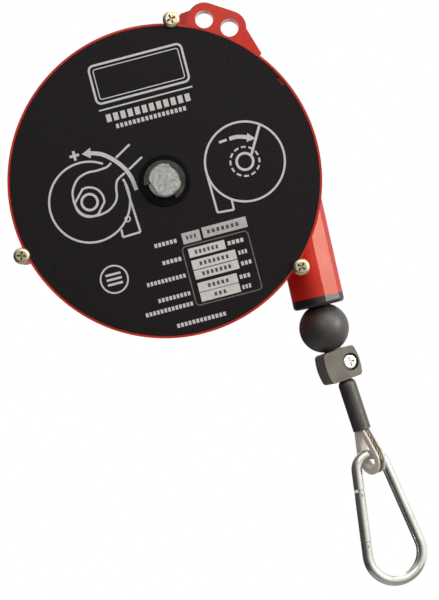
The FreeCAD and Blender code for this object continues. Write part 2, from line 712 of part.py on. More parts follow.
# ---------------------------------------------------------------- rope, outlet bush and stop ball
def strand(name, runs, radius):
    """Round rod along straight runs and arcs that meet smoothly; an arc has a middle point."""
    edges = []
    for run in runs:
        spots = [Vector(x, 0, z) for x, z in run]
        edges.append(Part.Arc(*spots).toShape() if len(run) == 3 else Part.makeLine(*spots))
    path = Part.Wire(edges)
    start = edges[0].valueAt(edges[0].FirstParameter)
    along = edges[0].tangentAt(edges[0].FirstParameter)
    section = Part.Wire([Part.makeCircle(radius, start, along)])
    piece = doc.addObject("Part::Feature", name)
    piece.Shape = path.makePipeShell([section], True, True)
    return piece


def rounded(points, radii):
    """Runs along a bent line of points, each inner corner rounded with its radius."""
    runs = []
    start = Vector(*points[0], 0)
    for index, radius in enumerate(radii, start=1):
        corner = Vector(*points[index], 0)
        into = (corner - Vector(*points[index - 1], 0)).normalize()
        out = (Vector(*points[index + 1], 0) - corner).normalize()
        half = into.getAngle(out) / 2
        near = corner - into * (radius * math.tan(half))
        far = corner + out * (radius * math.tan(half))
        inward = (out - into).normalize()
        middle = corner + inward * (radius / math.cos(half) - radius)
        runs.append([(start.x, start.y), (near.x, near.y)])
        runs.append([(near.x, near.y), (middle.x, middle.y), (far.x, far.y)])
        start = far
    runs.append([(start.x, start.y), points[-1]])
    return runs


def sleeve_top():
    """Where the leaning rope meets the sleeve."""
    fall = s.sleeve_drop - s.ball_drop
    return s.rope_x + fall * sine(s.chain_lean) / cosine(s.chain_lean), -s.sleeve_drop


def tail_runs():
    x, z = (size.value for size in sleeve_top())
    rope = s.rope_x.value
    lean = math.radians(SIZES["sleeve_lean"])
    length = SIZES["crimp_top"] + SIZES["crimp_length"]
    end = (x + length * math.sin(lean), z - length * math.cos(lean))
    middle = -s.ball_drop.value
    points = [(rope, middle + SIZES["ball_radius"]), (rope, middle), (x, z), end]
    return rounded(points, [SIZES["ball_bend"], SIZES["sleeve_bend"]])


def make_rope():
    top = s.ball_drop - s.ball_radius
    run = cylinder("rope_run", s.rope_radius, top, (s.rope_x, 0, -top))
    run.Label = "rope_run"
    tail = place(strand("rope_tail", tail_runs(), SIZES["rope_radius"]))
    tail.Label = "rope_tail"


def rope_channel(name):
    channel = strand(name, tail_runs(), SIZES["rope_radius"] + SIZES["running_gap"])
    return place(channel)


def threaded(label, base):
    """The piece with the rope's channel cut through it."""
    result = doc.addObject("Part::Cut", label)
    result.Label = label
    result.Base = base
    result.Tool = rope_channel(label + "_channel")
    return result


def soften(body, toward, size):
    """Round the edges of the body's furthest flat face in one direction."""
    doc.recompute()
    tip = body.Tip
    toward = Vector(*toward)
    best = None
    for index, face in enumerate(tip.Shape.Faces, start=1):
        if face.Surface.TypeId != "Part::GeomPlane" or face.normalAt(0, 0).dot(toward) < 0.99:
            continue
        reach = face.CenterOfMass.dot(toward)
        if best is None or reach > best[0] + 0.01:
            best = (reach, f"Face{index}")
    rounding = body.newObject("PartDesign::Fillet", body.Name + "_edge")
    rounding.Base = (tip, [best[1]])
    bind(rounding, "Radius", size)


def make_rope_bush():
    body = new_body("rope_bush")
    top = -s.nose_bottom
    bottom = top - s.outlet_collar
    pad(body, nose_outline(body, bottom), s.outlet_collar)
    soften(body, (0, 0, -1), s.outlet_edge)
    spigot = s.nose_bore - s.running_gap
    pad(body, draw_circle(body, "XY_Plane", spigot, (s.rope_x, 0), top), s.outlet_spigot)
    seat = s.ball_radius + s.seat_gap
    rise = s.ball_drop + bottom
    rim = root(seat * seat - rise * rise)
    throat_low = root(seat * seat - s.outlet_throat * s.outlet_throat) - s.ball_drop
    high = top + s.outlet_spigot
    outline = draw(body, "XZ_Plane", [
        (s.rope_x, bottom), (s.rope_x + rim, bottom),
        (s.rope_x + s.outlet_throat, throat_low, seat),
        (s.rope_x + s.outlet_throat, high - s.outlet_mouth + s.outlet_throat),
        (s.rope_x + s.outlet_mouth, high, -s.outlet_mouth + s.outlet_throat - 0.2),
        (s.rope_x, high)])
    groove = body.newObject("PartDesign::Groove", "rope_bush_mouth")
    groove.Profile = outline
    groove.ReferenceAxis = (outline, ["Edge1"])
    groove.Angle = 360


def make_ball():
    lean = [((0, -1, 0), s.chain_lean)]
    body = new_body("stop_ball_blank", (s.rope_x, 0, -s.ball_drop), lean)
    radius = s.ball_radius
    collar = s.ball_collar_radius
    low = -root(radius * radius - collar * collar)
    bottom = -s.ball_collar_length
    spin(body, draw(body, "XZ_Plane", [
        (0, bottom), (collar, bottom), (collar, low), (radius, 0, radius), (0, radius, radius)]))
    threaded("stop_ball", body)


# ---------------------------------------------------------------- rope clamp
def clamp_place():
    fall = s.clamp_drop - s.ball_drop
    x = s.rope_x + fall * sine(s.chain_lean) / cosine(s.chain_lean)
    return (x, 0, -s.clamp_drop), [((0, -1, 0), s.clamp_lean), ((0, 0, 1), s.clamp_spin)]


def clamp_layer(body, inset, start, end):
    """Slab of the clamp with bowed ends, between two distances in front of the split."""
    wide = s.clamp_width / 2 - inset
    tall = s.clamp_height / 2 - inset
    bend = s.clamp_corner
    bow = s.clamp_bow
    edge = wide - bend
    rise = tall - bend
    pad(body, draw(body, "XZ_Plane", [
        (edge, -tall), (wide, -rise, bend), (wide, rise, bow), (edge, tall, bend), (-edge, tall),
        (-wide, rise, bend), (-wide, -rise, bow), (-edge, -tall, bend)], start), end - start)


def make_clamp_half(label, facing):
    at, turns = clamp_place()
    body = new_body(label + "_blank", at, [*turns, ((0, 0, 1), facing)])
    front = s.clamp_depth / 2
    line = front - s.clamp_line_depth
    clamp_layer(body, 0, s.clamp_split / 2, line)
    clamp_layer(body, s.clamp_line, line, line + s.clamp_line)
    clamp_layer(body, 0, line + s.clamp_line, front)
    x = s.clamp_screw_x
    pocket(body, draw_circle(body, "XZ_Plane", s.clamp_counterbore, (x, 0),
                             front - s.counterbore_depth), s.counterbore_depth, reverse=True)
    pocket(body, draw_circle(body, "XZ_Plane", s.clamp_shank + s.thread_gap, (x, 0), 0),
           front, reverse=True)
    flats = s.nut_flats / 2 + s.thread_gap
    points = [(flats * cosine(60 * n + 30) / cosine(30) - x, flats * sine(60 * n + 30) / cosine(30))
              for n in range(6)]
    pocket(body, draw(body, "XZ_Plane", points, s.clamp_split / 2), s.nut_height + s.thread_gap,
           reverse=True)
    pocket(body, draw_circle(body, "XZ_Plane", s.clamp_shank + s.thread_gap, (-x, 0), 0),
           s.nut_height + 2.2, reverse=True)
    threaded(label, body)


def make_clamp():
    at, turns = clamp_place()
    screws = []
    nuts = []
    front = s.clamp_depth / 2
    seat = front - s.counterbore_depth
    for number, facing in enumerate((0, 180), start=1):
        make_clamp_half(("clamp_front", "clamp_back")[number - 1], facing)
        side = [*turns, ((0, 0, 1), facing)]
        screws.append(pan_screw(f"clamp_screw_{number}", s.clamp_head_radius, s.clamp_head_height,
                                s.clamp_shank, seat + s.clamp_split / 2 + s.nut_height, at,
                                [*side, (s.clamp_screw_x, -seat, 0), FRONT]))
        nut = new_body(f"clamp_nut_{number}", at,
                       [*side, (-s.clamp_screw_x, -s.clamp_split / 2, 0), FRONT])
        flats = s.nut_flats / 2
        points = [(flats * cosine(60 * n + 30) / cosine(30), flats * sine(60 * n + 30) / cosine(30))
                  for n in range(6)]
        pad(nut, draw(nut, "XY_Plane", points), s.nut_height)
        pocket(nut, draw_circle(nut, "XY_Plane", s.clamp_shank + s.running_gap), s.nut_height,
               reverse=True)
        nuts.append(nut)
    group("clamp_screws", screws)
    group("clamp_nuts", nuts)


# ---------------------------------------------------------------- sleeve, ferrule, thimble, eye
def eye_place():
    """Frame of the rope eye: Z up the sleeve, X across the two strands."""
    x, z = sleeve_top()
    shift = s.strand_gap
    at = (x + shift * cosine(s.eye_spin), -shift * sine(s.eye_spin), z)
    return at, [((0, -1, 0), s.sleeve_lean), ((0, 0, -1), s.eye_spin)]


def make_sleeve():
    body = new_body("rope_sleeve", *eye_place())
    outer = s.sleeve_radius
    inner = outer - s.sleeve_wall
    hole = s.strand_gap + s.rope_radius + s.thread_gap
    crown = outer - hole
    spin(body, draw(body, "XZ_Plane", [
        (hole, -s.crimp_top + 0.6), (inner, -s.crimp_top + 0.6),
        (inner, -s.sleeve_length), (outer, -s.sleeve_length), (outer, -crown - 1.5),
        (hole, 0, s.sleeve_dome)]))


def make_crimp():
    body = new_body("crimp_ferrule", *eye_place())
    bottom = -s.crimp_top - s.crimp_length
    half = s.rope_radius + 1.2
    across = s.strand_gap
    pad(body, draw(body, "XY_Plane", [
        (across - 0.1, -half), (across + half - 0.2, 0, half), (across - 0.1, half, half),
        (0.1 - across, half), (0.2 - across - half, 0, half), (0.1 - across, -half, half)],
        bottom), s.crimp_length)
    for side in (-1, 1):
        pocket(body, draw_circle(body, "XY_Plane", s.rope_radius + s.running_gap / 2,
                                 (across * side, 0), bottom), s.crimp_length, reverse=True)


def teardrop(radius, top):
    """Outline with a round lower end and sides that close in towards the top."""
    low = -s.eye_drop
    side = radius * cosine(s.eye_taper)
    start = low + radius * sine(s.eye_taper)
    narrow = side - (top - start) * sine(s.eye_taper) / cosine(s.eye_taper)
    return [(-narrow, top), (-side, start), (0, low - radius, radius), (side, start, radius),
            (narrow, top)]


def make_thimble():
    body = new_body("thimble", *eye_place())
    outer = s.eye_radius + s.thimble_edge
    web = s.eye_radius - s.rope_radius - s.thread_gap
    thick = s.thimble_thickness
    flange = (thick - s.thimble_channel) / 2
    top = -s.thimble_top
    pad(body, draw(body, "XZ_Plane", teardrop(web, top), -thick / 2), thick)
    for start in (-thick / 2, thick / 2 - flange):
        pad(body, draw(body, "XZ_Plane", teardrop(outer, top), start), flange)
    pocket(body, draw(body, "XZ_Plane", teardrop(s.thimble_bore, top - s.thimble_web), -thick / 2), thick,
           reverse=True)


def make_rope_eye():
    radius = SIZES["eye_radius"]
    taper = math.radians(SIZES["eye_taper"])
    across = SIZES["strand_gap"]
    centre = -SIZES["eye_drop"]
    bottom = -SIZES["crimp_top"] - SIZES["crimp_length"]
    apex = centre + radius / math.sin(taper)
    knee = apex - across / math.tan(taper)
    side = (radius * math.cos(taper), centre + radius * math.sin(taper))
    bend = [SIZES["eye_bend"]]
    left = rounded([(-across, bottom), (-across, knee), (-side[0], side[1])], bend)
    right = rounded([(side[0], side[1]), (across, knee), (across, -SIZES["crimp_top"])], bend)
    loop = [[(-side[0], side[1]), (0, centre - radius), side]]
    eye = strand("rope_eye", left + loop + right, SIZES["rope_radius"])
    eye.Label = "rope_eye"
    place(eye, *eye_place())


# ---------------------------------------------------------------- spring hook
def hook_place():
    at = (s.hook_x, -s.strand_gap * sine(s.eye_spin), -s.hook_drop)
    return at, [((0, 0, 1), s.hook_yaw), ((0, -1, 0), s.hook_lean)]


def hook_slope():
    """Angle of the hook's straight sides to its axis, in degrees."""
    ratio = (SIZES["hook_large"] - SIZES["hook_small"]) / SIZES["hook_centres"]
    value = math.degrees(math.asin(ratio))
    return Size(value, "(asin((Sizes.hook_large - Sizes.hook_small) / Sizes.hook_centres) / 1 deg)")


def gate_side():
    """Steps from the hook's frame to its gate side: Z up the gate, from the upper tangent."""
    slope = hook_slope()
    small = s.hook_small
    return [(-small * cosine(slope), 0, small * sine(slope)), ((0, 1, 0), slope)]


def make_hook_body():
    slope = math.radians(hook_slope().value)
    small, large = SIZES["hook_small"], SIZES["hook_large"]
    drop = -SIZES["hook_centres"]
    upper = (small * math.cos(slope), small * math.sin(slope))
    lower = (large * math.cos(slope), drop + large * math.sin(slope))

    def down(length):
        return (-upper[0] - length * math.sin(slope), upper[1] - length * math.cos(slope))

    wire = strand("hook_wire", [
        [down(SIZES["gate_top"] - SIZES["gate_gap"]), (-upper[0], upper[1])],
        [(-upper[0], upper[1]), (0, small), upper],
        [upper, lower],
        [lower, (0, drop - large), (-lower[0], lower[1])],
        [(-lower[0], lower[1]), down(SIZES["gate_bottom"] + SIZES["gate_gap"])],
        ], SIZES["hook_wire"])
    side = gate_side()
    thick = s.tongue_thickness
    rivet = s.gate_top + s.hinge_drop
    wide = s.hook_wire * 0.85
    tongue = doc.addObject("Part::Box", "hook_tongue")
    bind(tongue, "Length", wide * 2)
    bind(tongue, "Width", thick)
    bind(tongue, "Height", s.hinge_drop + s.gate_gap + 2)
    seat(tongue, [*side, (-wide, -thick / 2, -rivet)])
    eye = cylinder("hook_tongue_end", wide, thick)
    seat(eye, [*side, (0, thick / 2, -rivet), FRONT])
    whole = doc.addObject("Part::MultiFuse", "hook_blank")
    whole.Shapes = [wire, tongue, eye]
    long = s.hook_wire * 4
    rivet_hole = cylinder("rivet_hole", s.rivet_radius, long)
    seat(rivet_hole, [*side, (0, long / 2, -rivet), FRONT])
    pin_hole = cylinder("catch_hole", s.catch_radius, long)
    seat(pin_hole, [*side, (0, long / 2, -s.gate_bottom - s.catch_rise), FRONT])
    slot = doc.addObject("Part::Box", "catch_slot")
    bind(slot, "Length", long)
    bind(slot, "Width", s.gate_slot)
    bind(slot, "Height", s.catch_rise * 2 + 1.4)
    seat(slot, [*side, (-long / 2, -s.gate_slot / 2, -s.gate_bottom - s.catch_rise * 2 - 1.0)])
    cuts = doc.addObject("Part::MultiFuse", "hook_cuts")
    cuts.Shapes = [rivet_hole, pin_hole, slot]
    body = doc.addObject("Part::Cut", "hook_body")
    body.Label = "hook_body"
    body.Base = whole
    body.Tool = cuts
    place(body, *hook_place())


def make_gate():
    at, turns = hook_place()
    side = [*turns, *gate_side()]
    body = new_body("hook_gate", at, side)
    radius = s.hook_wire
    rivet = -s.gate_top - s.hinge_drop
    length = s.gate_bottom - s.gate_top
    pad(body, draw_circle(body, "XY_Plane", radius, (0, 0), -s.gate_bottom), length)
    tongue = s.tongue_thickness / 2
    wide = radius * 0.72
    tip = -s.gate_bottom - s.catch_rise * 2 + 0.4
    pad(body, draw(body, "XZ_Plane", [
        (-wide, tip), (wide, tip + 1.2), (wide, 2 - s.gate_bottom), (-wide, 2 - s.gate_bottom)],
        -tongue), tongue * 2)
    top = -s.gate_top
    far = radius + 1
    cap = s.hinge_drop + s.hinge_gap
    rise = root(cap * cap - radius * radius)
    for way in (-1, 1):
        pocket(body, draw(body, "XZ_Plane", [
            (way * radius, rivet + rise), (way * far, rivet + rise), (way * far, top + 1),
            (0, top + 1), (0, top)], 0), far * 2, both_ways=True)
    pocket(body, draw(body, "XZ_Plane", [
        (-far, rivet - radius - 1), (far, rivet - radius - 1), (far, top + 1), (-far, top + 1)],
        -s.gate_slot / 2), s.gate_slot, reverse=True)
    pocket(body, draw_circle(body, "XZ_Plane", s.rivet_radius + s.running_gap, (0, rivet)),
           far * 2, both_ways=True)
    pin = -s.gate_bottom - s.catch_rise
    notch = s.catch_radius + 0.35
    pocket(body, draw(body, "XZ_Plane", [
        (-far, pin - notch), (0, pin - notch), (0, pin + notch, notch + 0.002), (-far, pin + notch)]),
        s.gate_slot, both_ways=True)


def make_hook_pins():
    at, turns = hook_place()
    side = [*turns, *gate_side()]
    for label, radius, drop in (("gate_rivet", s.rivet_radius, s.gate_top + s.hinge_drop),
                                ("catch_pin", s.catch_radius, s.gate_bottom + s.catch_rise)):
        pin = cylinder(label, radius, s.rivet_length, at,
                       [*side, (0, s.rivet_length / 2, -drop), FRONT])
        pin.Label = label


# ---------------------------------------------------------------- build, test and export
NODES = [
    "housing_body", "cover_disc", "cover_bush", "cover_screws", "main_shaft", "retaining_ring",
    "ratchet_wheel", "pawl", "pawl_pin", "pawl_spring", "rope_drum", "rope_anchor_ferrule",
    "spring_case_lid", "drum_bush", "thrust_washer", "power_spring", "wound_rope", "rope_run",
    "rope_tail", "rope_bush", "stop_ball", "clamp_front", "clamp_back", "clamp_screws",
    "clamp_nuts", "rope_sleeve", "crimp_ferrule", "thimble", "rope_eye", "hook_body",
    "hook_gate", "gate_rivet", "catch_pin",
]


def export():
    doc.recompute()
    for thing in doc.Objects:
        if {"Invalid", "Error"} & set(thing.State):
            raise RuntimeError(f"{thing.Name} failed: {thing.State}")
    os.makedirs("parts", exist_ok=True)
    for label in NODES:
        piece = doc.getObjectsByLabel(label)[0]
        if piece.Shape.isNull() or not piece.Shape.isValid():
            raise RuntimeError(f"{label} has no valid shape")
        piece.Shape.exportStep(os.path.join("parts", label + ".step"))


make_housing()
make_cover()
make_cover_bush()
make_cover_screws()
make_shaft()
make_retaining_ring()
make_ratchet_wheel()
make_pawl()
make_pawl_pin()
make_pawl_spring()
make_drum_fittings(*make_drum())
make_power_spring()
make_wound_rope()
make_rope()
make_rope_bush()
make_ball()
make_clamp()
make_sleeve()
make_crimp()
make_thimble()
make_rope_eye()
make_hook_body()
make_gate()
make_hook_pins()
export()
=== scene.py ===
"""Looks of the spring balancer: camera, rope, pawl's coil, materials, print, floor and lights.

Lengths are metres in the CAD's frame. Routes and the print are given in mm from the drum's
axis, x to the right and z up, as in the part's source; the print is turned a little besides.
"""
import json
import math

import bmesh
import bpy
from mathutils import Matrix, Vector


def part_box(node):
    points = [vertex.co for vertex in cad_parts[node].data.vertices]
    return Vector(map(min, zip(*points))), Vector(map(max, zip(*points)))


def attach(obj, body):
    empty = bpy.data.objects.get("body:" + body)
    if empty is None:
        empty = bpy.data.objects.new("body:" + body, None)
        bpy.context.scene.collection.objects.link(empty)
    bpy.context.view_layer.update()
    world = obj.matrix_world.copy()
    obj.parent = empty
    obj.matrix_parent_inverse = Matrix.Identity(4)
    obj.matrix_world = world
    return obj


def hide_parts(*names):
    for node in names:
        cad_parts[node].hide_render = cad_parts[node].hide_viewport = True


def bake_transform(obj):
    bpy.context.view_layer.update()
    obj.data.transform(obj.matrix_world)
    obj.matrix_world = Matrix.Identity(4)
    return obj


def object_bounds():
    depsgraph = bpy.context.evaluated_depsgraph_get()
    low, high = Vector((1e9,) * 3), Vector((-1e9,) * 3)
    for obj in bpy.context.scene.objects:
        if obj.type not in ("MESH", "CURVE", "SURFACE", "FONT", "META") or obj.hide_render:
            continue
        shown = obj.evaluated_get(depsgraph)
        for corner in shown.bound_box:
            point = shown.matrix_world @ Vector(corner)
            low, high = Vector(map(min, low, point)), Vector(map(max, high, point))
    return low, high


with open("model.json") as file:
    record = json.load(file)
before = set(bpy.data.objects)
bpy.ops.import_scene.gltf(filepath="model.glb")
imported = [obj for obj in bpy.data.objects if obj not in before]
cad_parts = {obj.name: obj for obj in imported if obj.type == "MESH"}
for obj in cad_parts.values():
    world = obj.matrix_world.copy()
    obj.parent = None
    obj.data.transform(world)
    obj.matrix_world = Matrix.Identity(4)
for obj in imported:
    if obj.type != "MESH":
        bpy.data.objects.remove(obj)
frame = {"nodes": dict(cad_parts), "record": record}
cad_bounds = [list(corner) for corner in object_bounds()]
nodes = frame["nodes"]
MM = 0.001


# ---------------------------------------------------------------- places taken from the frame
def shaft_centre():
    """The drum's axis in the middle plane, where the rope hangs."""
    low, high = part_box("main_shaft")
    return Vector(((low.x + high.x) / 2, 0, (low.z + high.z) / 2))


DRUM = shaft_centre()
FACE_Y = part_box("cover_disc")[0].y


def from_drum(x, y, z):
    return DRUM + Vector((x * MM, y * MM, z * MM))


def show(name, data):
    """A new object in the scene."""
    thing = bpy.data.objects.new(name, data)
    bpy.context.scene.collection.objects.link(thing)
    return thing


# ---------------------------------------------------------------- camera
CAMERA_ROLL = math.radians(12.75)
CAMERA_DISTANCE = 1.0
CAMERA_REACH = 100
SENSOR = 36.0
VIEW_HEIGHT = 0.3543
LOOK_AT = DRUM + Vector((16.0 * MM, FACE_Y, -75.7 * MM))


def make_camera():
    """Camera straight in front of the cover, rolled as the photo's is."""
    data = bpy.data.cameras.new("camera")
    data.sensor_width = SENSOR
    data.lens = SENSOR * CAMERA_DISTANCE / VIEW_HEIGHT
    data.clip_end = CAMERA_REACH
    camera = show("camera", data)
    camera.matrix_world = (Matrix.Translation(LOOK_AT - Vector((0, CAMERA_DISTANCE, 0)))
                           @ Matrix.Rotation(math.pi / 2, 4, "X")
                           @ Matrix.Rotation(-CAMERA_ROLL, 4, "Z"))
    bpy.context.scene.camera = camera


# ---------------------------------------------------------------- wire rope
ROPE = 3.0 * MM
ROPE_TRAVEL = 2.5
# six strands round a core of their own size, each a hair thinner than would touch
STRANDS = 6
STRAND_RADIUS = ROPE / 6
STRAND_FILL = 0.99
STRAND_SIDES = 8
LAY_LENGTH = 19 * MM
STEP = 1 * MM
# the run inside the nose has its strands far closer together
DRAWN_LAY_LENGTH = 3 * MM
DRAWN_STEP = 0.4 * MM
DRAWN_SIDES = 6
# control points of the free rope, and of the eye in its own axes, which EYE_PLACE moves
FREE_ROUTE = [(74.6, -91.3), (74.6, -106.5), (79.58, -140.2), (81.59, -161.1)]
EYE_ROUTE = [(-1.6, -21.0), (-1.6, -28.2), (-6.7, -43.0), (-9.6, -51.4), (-4.4, -58.6),
             (4.4, -58.6), (9.6, -51.4), (6.7, -43.0), (1.6, -28.2), (1.6, -3.5)]
EYE_PLACE = (Matrix.Translation((80.42, -1.36, -140.2))
             @ Matrix.Rotation(math.radians(5.5), 4, (0, -1, 0))
             @ Matrix.Rotation(math.radians(58.0), 4, (0, 0, -1)))


def length_of(line):
    return sum((b - a).length for a, b in zip(line, line[1:]))


def smooth_route(points):
    """Points close together on the smooth curve that a route of few points gives."""
    data = bpy.data.curves.new("route", "CURVE")
    data.dimensions = "3D"
    data.resolution_u = 32
    spline = data.splines.new("NURBS")
    spline.points.add(len(points) - 1)
    for point, spot in zip(spline.points, points):
        point.co = (*spot, 1)
    spline.order_u = 3
    spline.use_endpoint_u = True
    holder = bpy.data.objects.new("route", data)
    mesh = bpy.data.meshes.new_from_object(holder)
    line = [vertex.co.copy() for vertex in mesh.vertices]
    bpy.data.objects.remove(holder)
    bpy.data.curves.remove(data)
    bpy.data.meshes.remove(mesh)
    return line


def even_steps(line, step):
    """The line's points at even distances."""
    length = length_of(line)
    count = max(2, round(length / step))
    result = [line[0]]
    walked = 0.0
    for a, b in zip(line, line[1:]):
        piece = (b - a).length
        while len(result) < count and walked + piece >= length * len(result) / count:
            share = (length * len(result) / count - walked) / piece
            result.append(a.lerp(b, share))
        walked += piece
    result.append(line[-1])
    return result


def wire_ring(mesh, middle, out, side, radius, sides):
    """Points round the middle of a wire, in the plane of two directions."""
    return [mesh.verts.new(middle + (out * math.cos(a) + side * math.sin(a)) * radius)
            for a in (2 * math.pi * k / sides for k in range(sides))]


def close_tube(mesh, rings):
    """Faces between rings of points, with both ends closed."""
    sides = len(rings[0])
    for one, two in zip(rings, rings[1:]):
        for k in range(sides):
            face = mesh.faces.new((one[k], one[(k + 1) % sides], two[(k + 1) % sides], two[k]))
            face.smooth = True
    mesh.faces.new(reversed(rings[0]))
    mesh.faces.new(rings[-1])


def make_piece(name, mesh, look):
    """A piece of the scene from a finished mesh."""
    bmesh.ops.recalc_face_normals(mesh, faces=mesh.faces)
    data = bpy.data.meshes.new(name)
    mesh.to_mesh(data)
    mesh.free()
    data.materials.append(look.material)
    piece = show(name, data)
    return piece


def carried_frames(line):
    """Each point with two directions across the line, carried along it without twist, and the
    length walked to it."""
    along = (line[1] - line[0]).normalized()
    across = along.orthogonal().normalized()
    frames = []
    walked = 0.0
    for index, spot in enumerate(line):
        ahead = line[min(index + 1, len(line) - 1)] - line[max(index - 1, 0)]
        turn = along.rotation_difference(ahead)
        across = (turn @ across).normalized()
        along = ahead.normalized()
        frames.append((spot, across, along.cross(across), walked))
        if index < len(line) - 1:
            walked += (line[index + 1] - spot).length
    return frames


def twist_strands(name, line, lay=LAY_LENGTH, sides=STRAND_SIDES):
    """Strands laid round a core along a line, once round in each lay length."""
    mesh = bmesh.new()
    frames = carried_frames(line)
    for strand in range(STRANDS + 1):
        reach = 0.0 if strand == STRANDS else 2 * STRAND_RADIUS
        rings = []
        for spot, across, up, walked in frames:
            angle = 2 * math.pi * (strand / STRANDS + walked / lay)
            out = across * math.cos(angle) + up * math.sin(angle)
            side = up * math.cos(angle) - across * math.sin(angle)
            rings.append(wire_ring(mesh, spot + out * reach, out, side,
                                   STRAND_RADIUS * STRAND_FILL, sides))
        close_tube(mesh, rings)
    return make_piece(name, mesh, MATERIALS["wire_rope"])


def make_ropes():
    """The free rope down to the hook, the eye at its end, and the run inside the nose."""
    line = even_steps(smooth_route([from_drum(x, 0, z) for x, z in FREE_ROUTE]), STEP)
    free = twist_strands("rope_free", line)
    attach(free, "rope_end")
    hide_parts("rope_tail")
    eye_points = [from_drum(*(EYE_PLACE @ Vector((x, 0, z)))) for x, z in EYE_ROUTE]
    eye = twist_strands("rope_loop", even_steps(smooth_route(eye_points), STEP))
    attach(eye, "rope_end")
    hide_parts("rope_eye")
    low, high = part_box("rope_run")
    top = Vector(((low.x + high.x) / 2, 0, high.z))
    bottom = Vector((top.x, 0, low.z))
    drawn = twist_strands("rope_drawn", even_steps([top, bottom], DRAWN_STEP),
                          DRAWN_LAY_LENGTH, DRAWN_SIDES)
    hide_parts("rope_run")
    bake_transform(drawn)


# ---------------------------------------------------------------- coil behind the pawl
COIL_WIRE = 0.7 * MM
COIL_TURNS = 6
COIL_PARTS = 24
COIL_SIDES = 8


def make_pawl_coil():
    """Coil between the housing and the pawl's tail."""
    low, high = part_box("pawl_spring")
    middle = (low + high) / 2
    radius = (high.x - low.x - COIL_WIRE) / 2
    rise = high.z - low.z - COIL_WIRE
    count = COIL_TURNS * COIL_PARTS
    mesh = bmesh.new()
    rings = []
    for step in range(count + 1):
        angle = 2 * math.pi * step / COIL_PARTS
        out = Vector((math.cos(angle), math.sin(angle), 0))
        spot = Vector((middle.x, middle.y, low.z + COIL_WIRE / 2)) + out * radius
        spot.z += rise * step / count
        rings.append(wire_ring(mesh, spot, out, Vector((0, 0, 1)), COIL_WIRE / 2, COIL_SIDES))
    close_tube(mesh, rings)
    coil = make_piece("pawl_coil", mesh, MATERIALS["spring_steel"])
    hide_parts("pawl_spring")
    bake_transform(coil)


# ---------------------------------------------------------------- materials
# noise scales are per metre, and bump depths and reaches are in metres
class NodeTree:
    """Short calls for building the node tree of a material or the world."""

    def __init__(self, tree):
        self.tree = tree

    def add(self, kind, **inputs):
        node = self.tree.nodes.new("ShaderNode" + kind)
        for key, value in inputs.items():
            self.feed(node.inputs[key.replace("_", " ")], value)
        return node

    def feed(self, socket, value):
        if isinstance(value, bpy.types.NodeSocket):
            self.tree.links.new(value, socket)
        else:
            socket.default_value = value

    def ramp(self, factor, stops):
        """Colour by a factor, from stops of place and colour."""
        node = self.add("ValToRGB", Fac=factor)
        while len(node.color_ramp.elements) < len(stops):
            node.color_ramp.elements.new(0.5)
        for element, (spot, colour) in zip(node.color_ramp.elements, stops):
            element.position = spot
            element.color = opaque(colour)
        return node.outputs["Color"]

    def level(self, factor, first, last, from_low=0.3, from_high=0.7):
        """Number between first and last, as the factor goes from low to high."""
        node = self.add("MapRange", Value=factor)
        for key, value in (("From Min", from_low), ("From Max", from_high), ("To Min", first),
                           ("To Max", last)):
            node.inputs[key].default_value = value
        return node.outputs["Result"]

    def combine(self, kind, operation, first, last, output=0):
        """Result of a Math or VectorMath node on two values."""
        node = self.add(kind)
        node.operation = operation
        self.feed(node.inputs[0], first)
        self.feed(node.inputs[1], last)
        return node.outputs[output]

    def light(self, kind, **inputs):
        """The shader that a light-giving node puts out."""
        return self.add(kind, **inputs).outputs[0]

    def either(self, factor, first, last):
        """One shader or the other, by the factor."""
        node = self.add("MixShader", Fac=factor)
        self.feed(node.inputs[1], first)
        self.feed(node.inputs[2], last)
        return node.outputs[0]


class Shader(NodeTree):
    """Short calls for building one procedural material."""

    def __init__(self, name):
        self.material = bpy.data.materials.new(name)
        self.material.use_nodes = True
        super().__init__(self.material.node_tree)
        self.body = self.tree.nodes["Principled BSDF"]
        self.place = self.add("TexCoord").outputs["Object"]

    def stretched(self, scale):
        node = self.add("Mapping", Vector=self.place, Scale=scale)
        return node.outputs["Vector"]

    def noise(self, scale, detail=3.0, rough=0.5, place=None):
        node = self.add("TexNoise", Vector=place or self.place, Scale=scale, Detail=detail,
                        Roughness=rough)
        return node.outputs["Fac"]

    def mix(self, factor, first, last):
        """One colour or the other, by the factor. Inputs 6 and 7 are the node's colours."""
        node = self.add("Mix")
        node.data_type = "RGBA"
        self.feed(node.inputs[0], factor)
        self.feed(node.inputs[6], opaque(first))
        self.feed(node.inputs[7], last)
        return node.outputs[2]

    def bump(self, height, strength, distance, normal=None):
        node = self.add("Bump", Height=height, Strength=strength, Distance=distance)
        if normal is not None:
            self.feed(node.inputs["Normal"], normal)
        return node.outputs["Normal"]

    def recess_shade(self, reach):
        """Share of open surface from ambient occlusion, low in recesses as deep as the reach; it is
        used to paint shade into recesses.
        """
        node = self.add("AmbientOcclusion", Distance=reach)
        return node.outputs["AO"]

    def set(self, **values):
        for key, value in values.items():
            self.feed(self.body.inputs[key.replace("_", " ")], value)


def linear(red, green, blue):
    """Colour as a screen shows it, 0 to 255, as the linear value that shaders take."""
    return tuple(c / 12.92 if c <= 0.04045 else ((c + 0.055) / 1.055) ** 2.4
                 for c in (red / 255, green / 255, blue / 255))


def opaque(colour):
    return (*colour, 1)


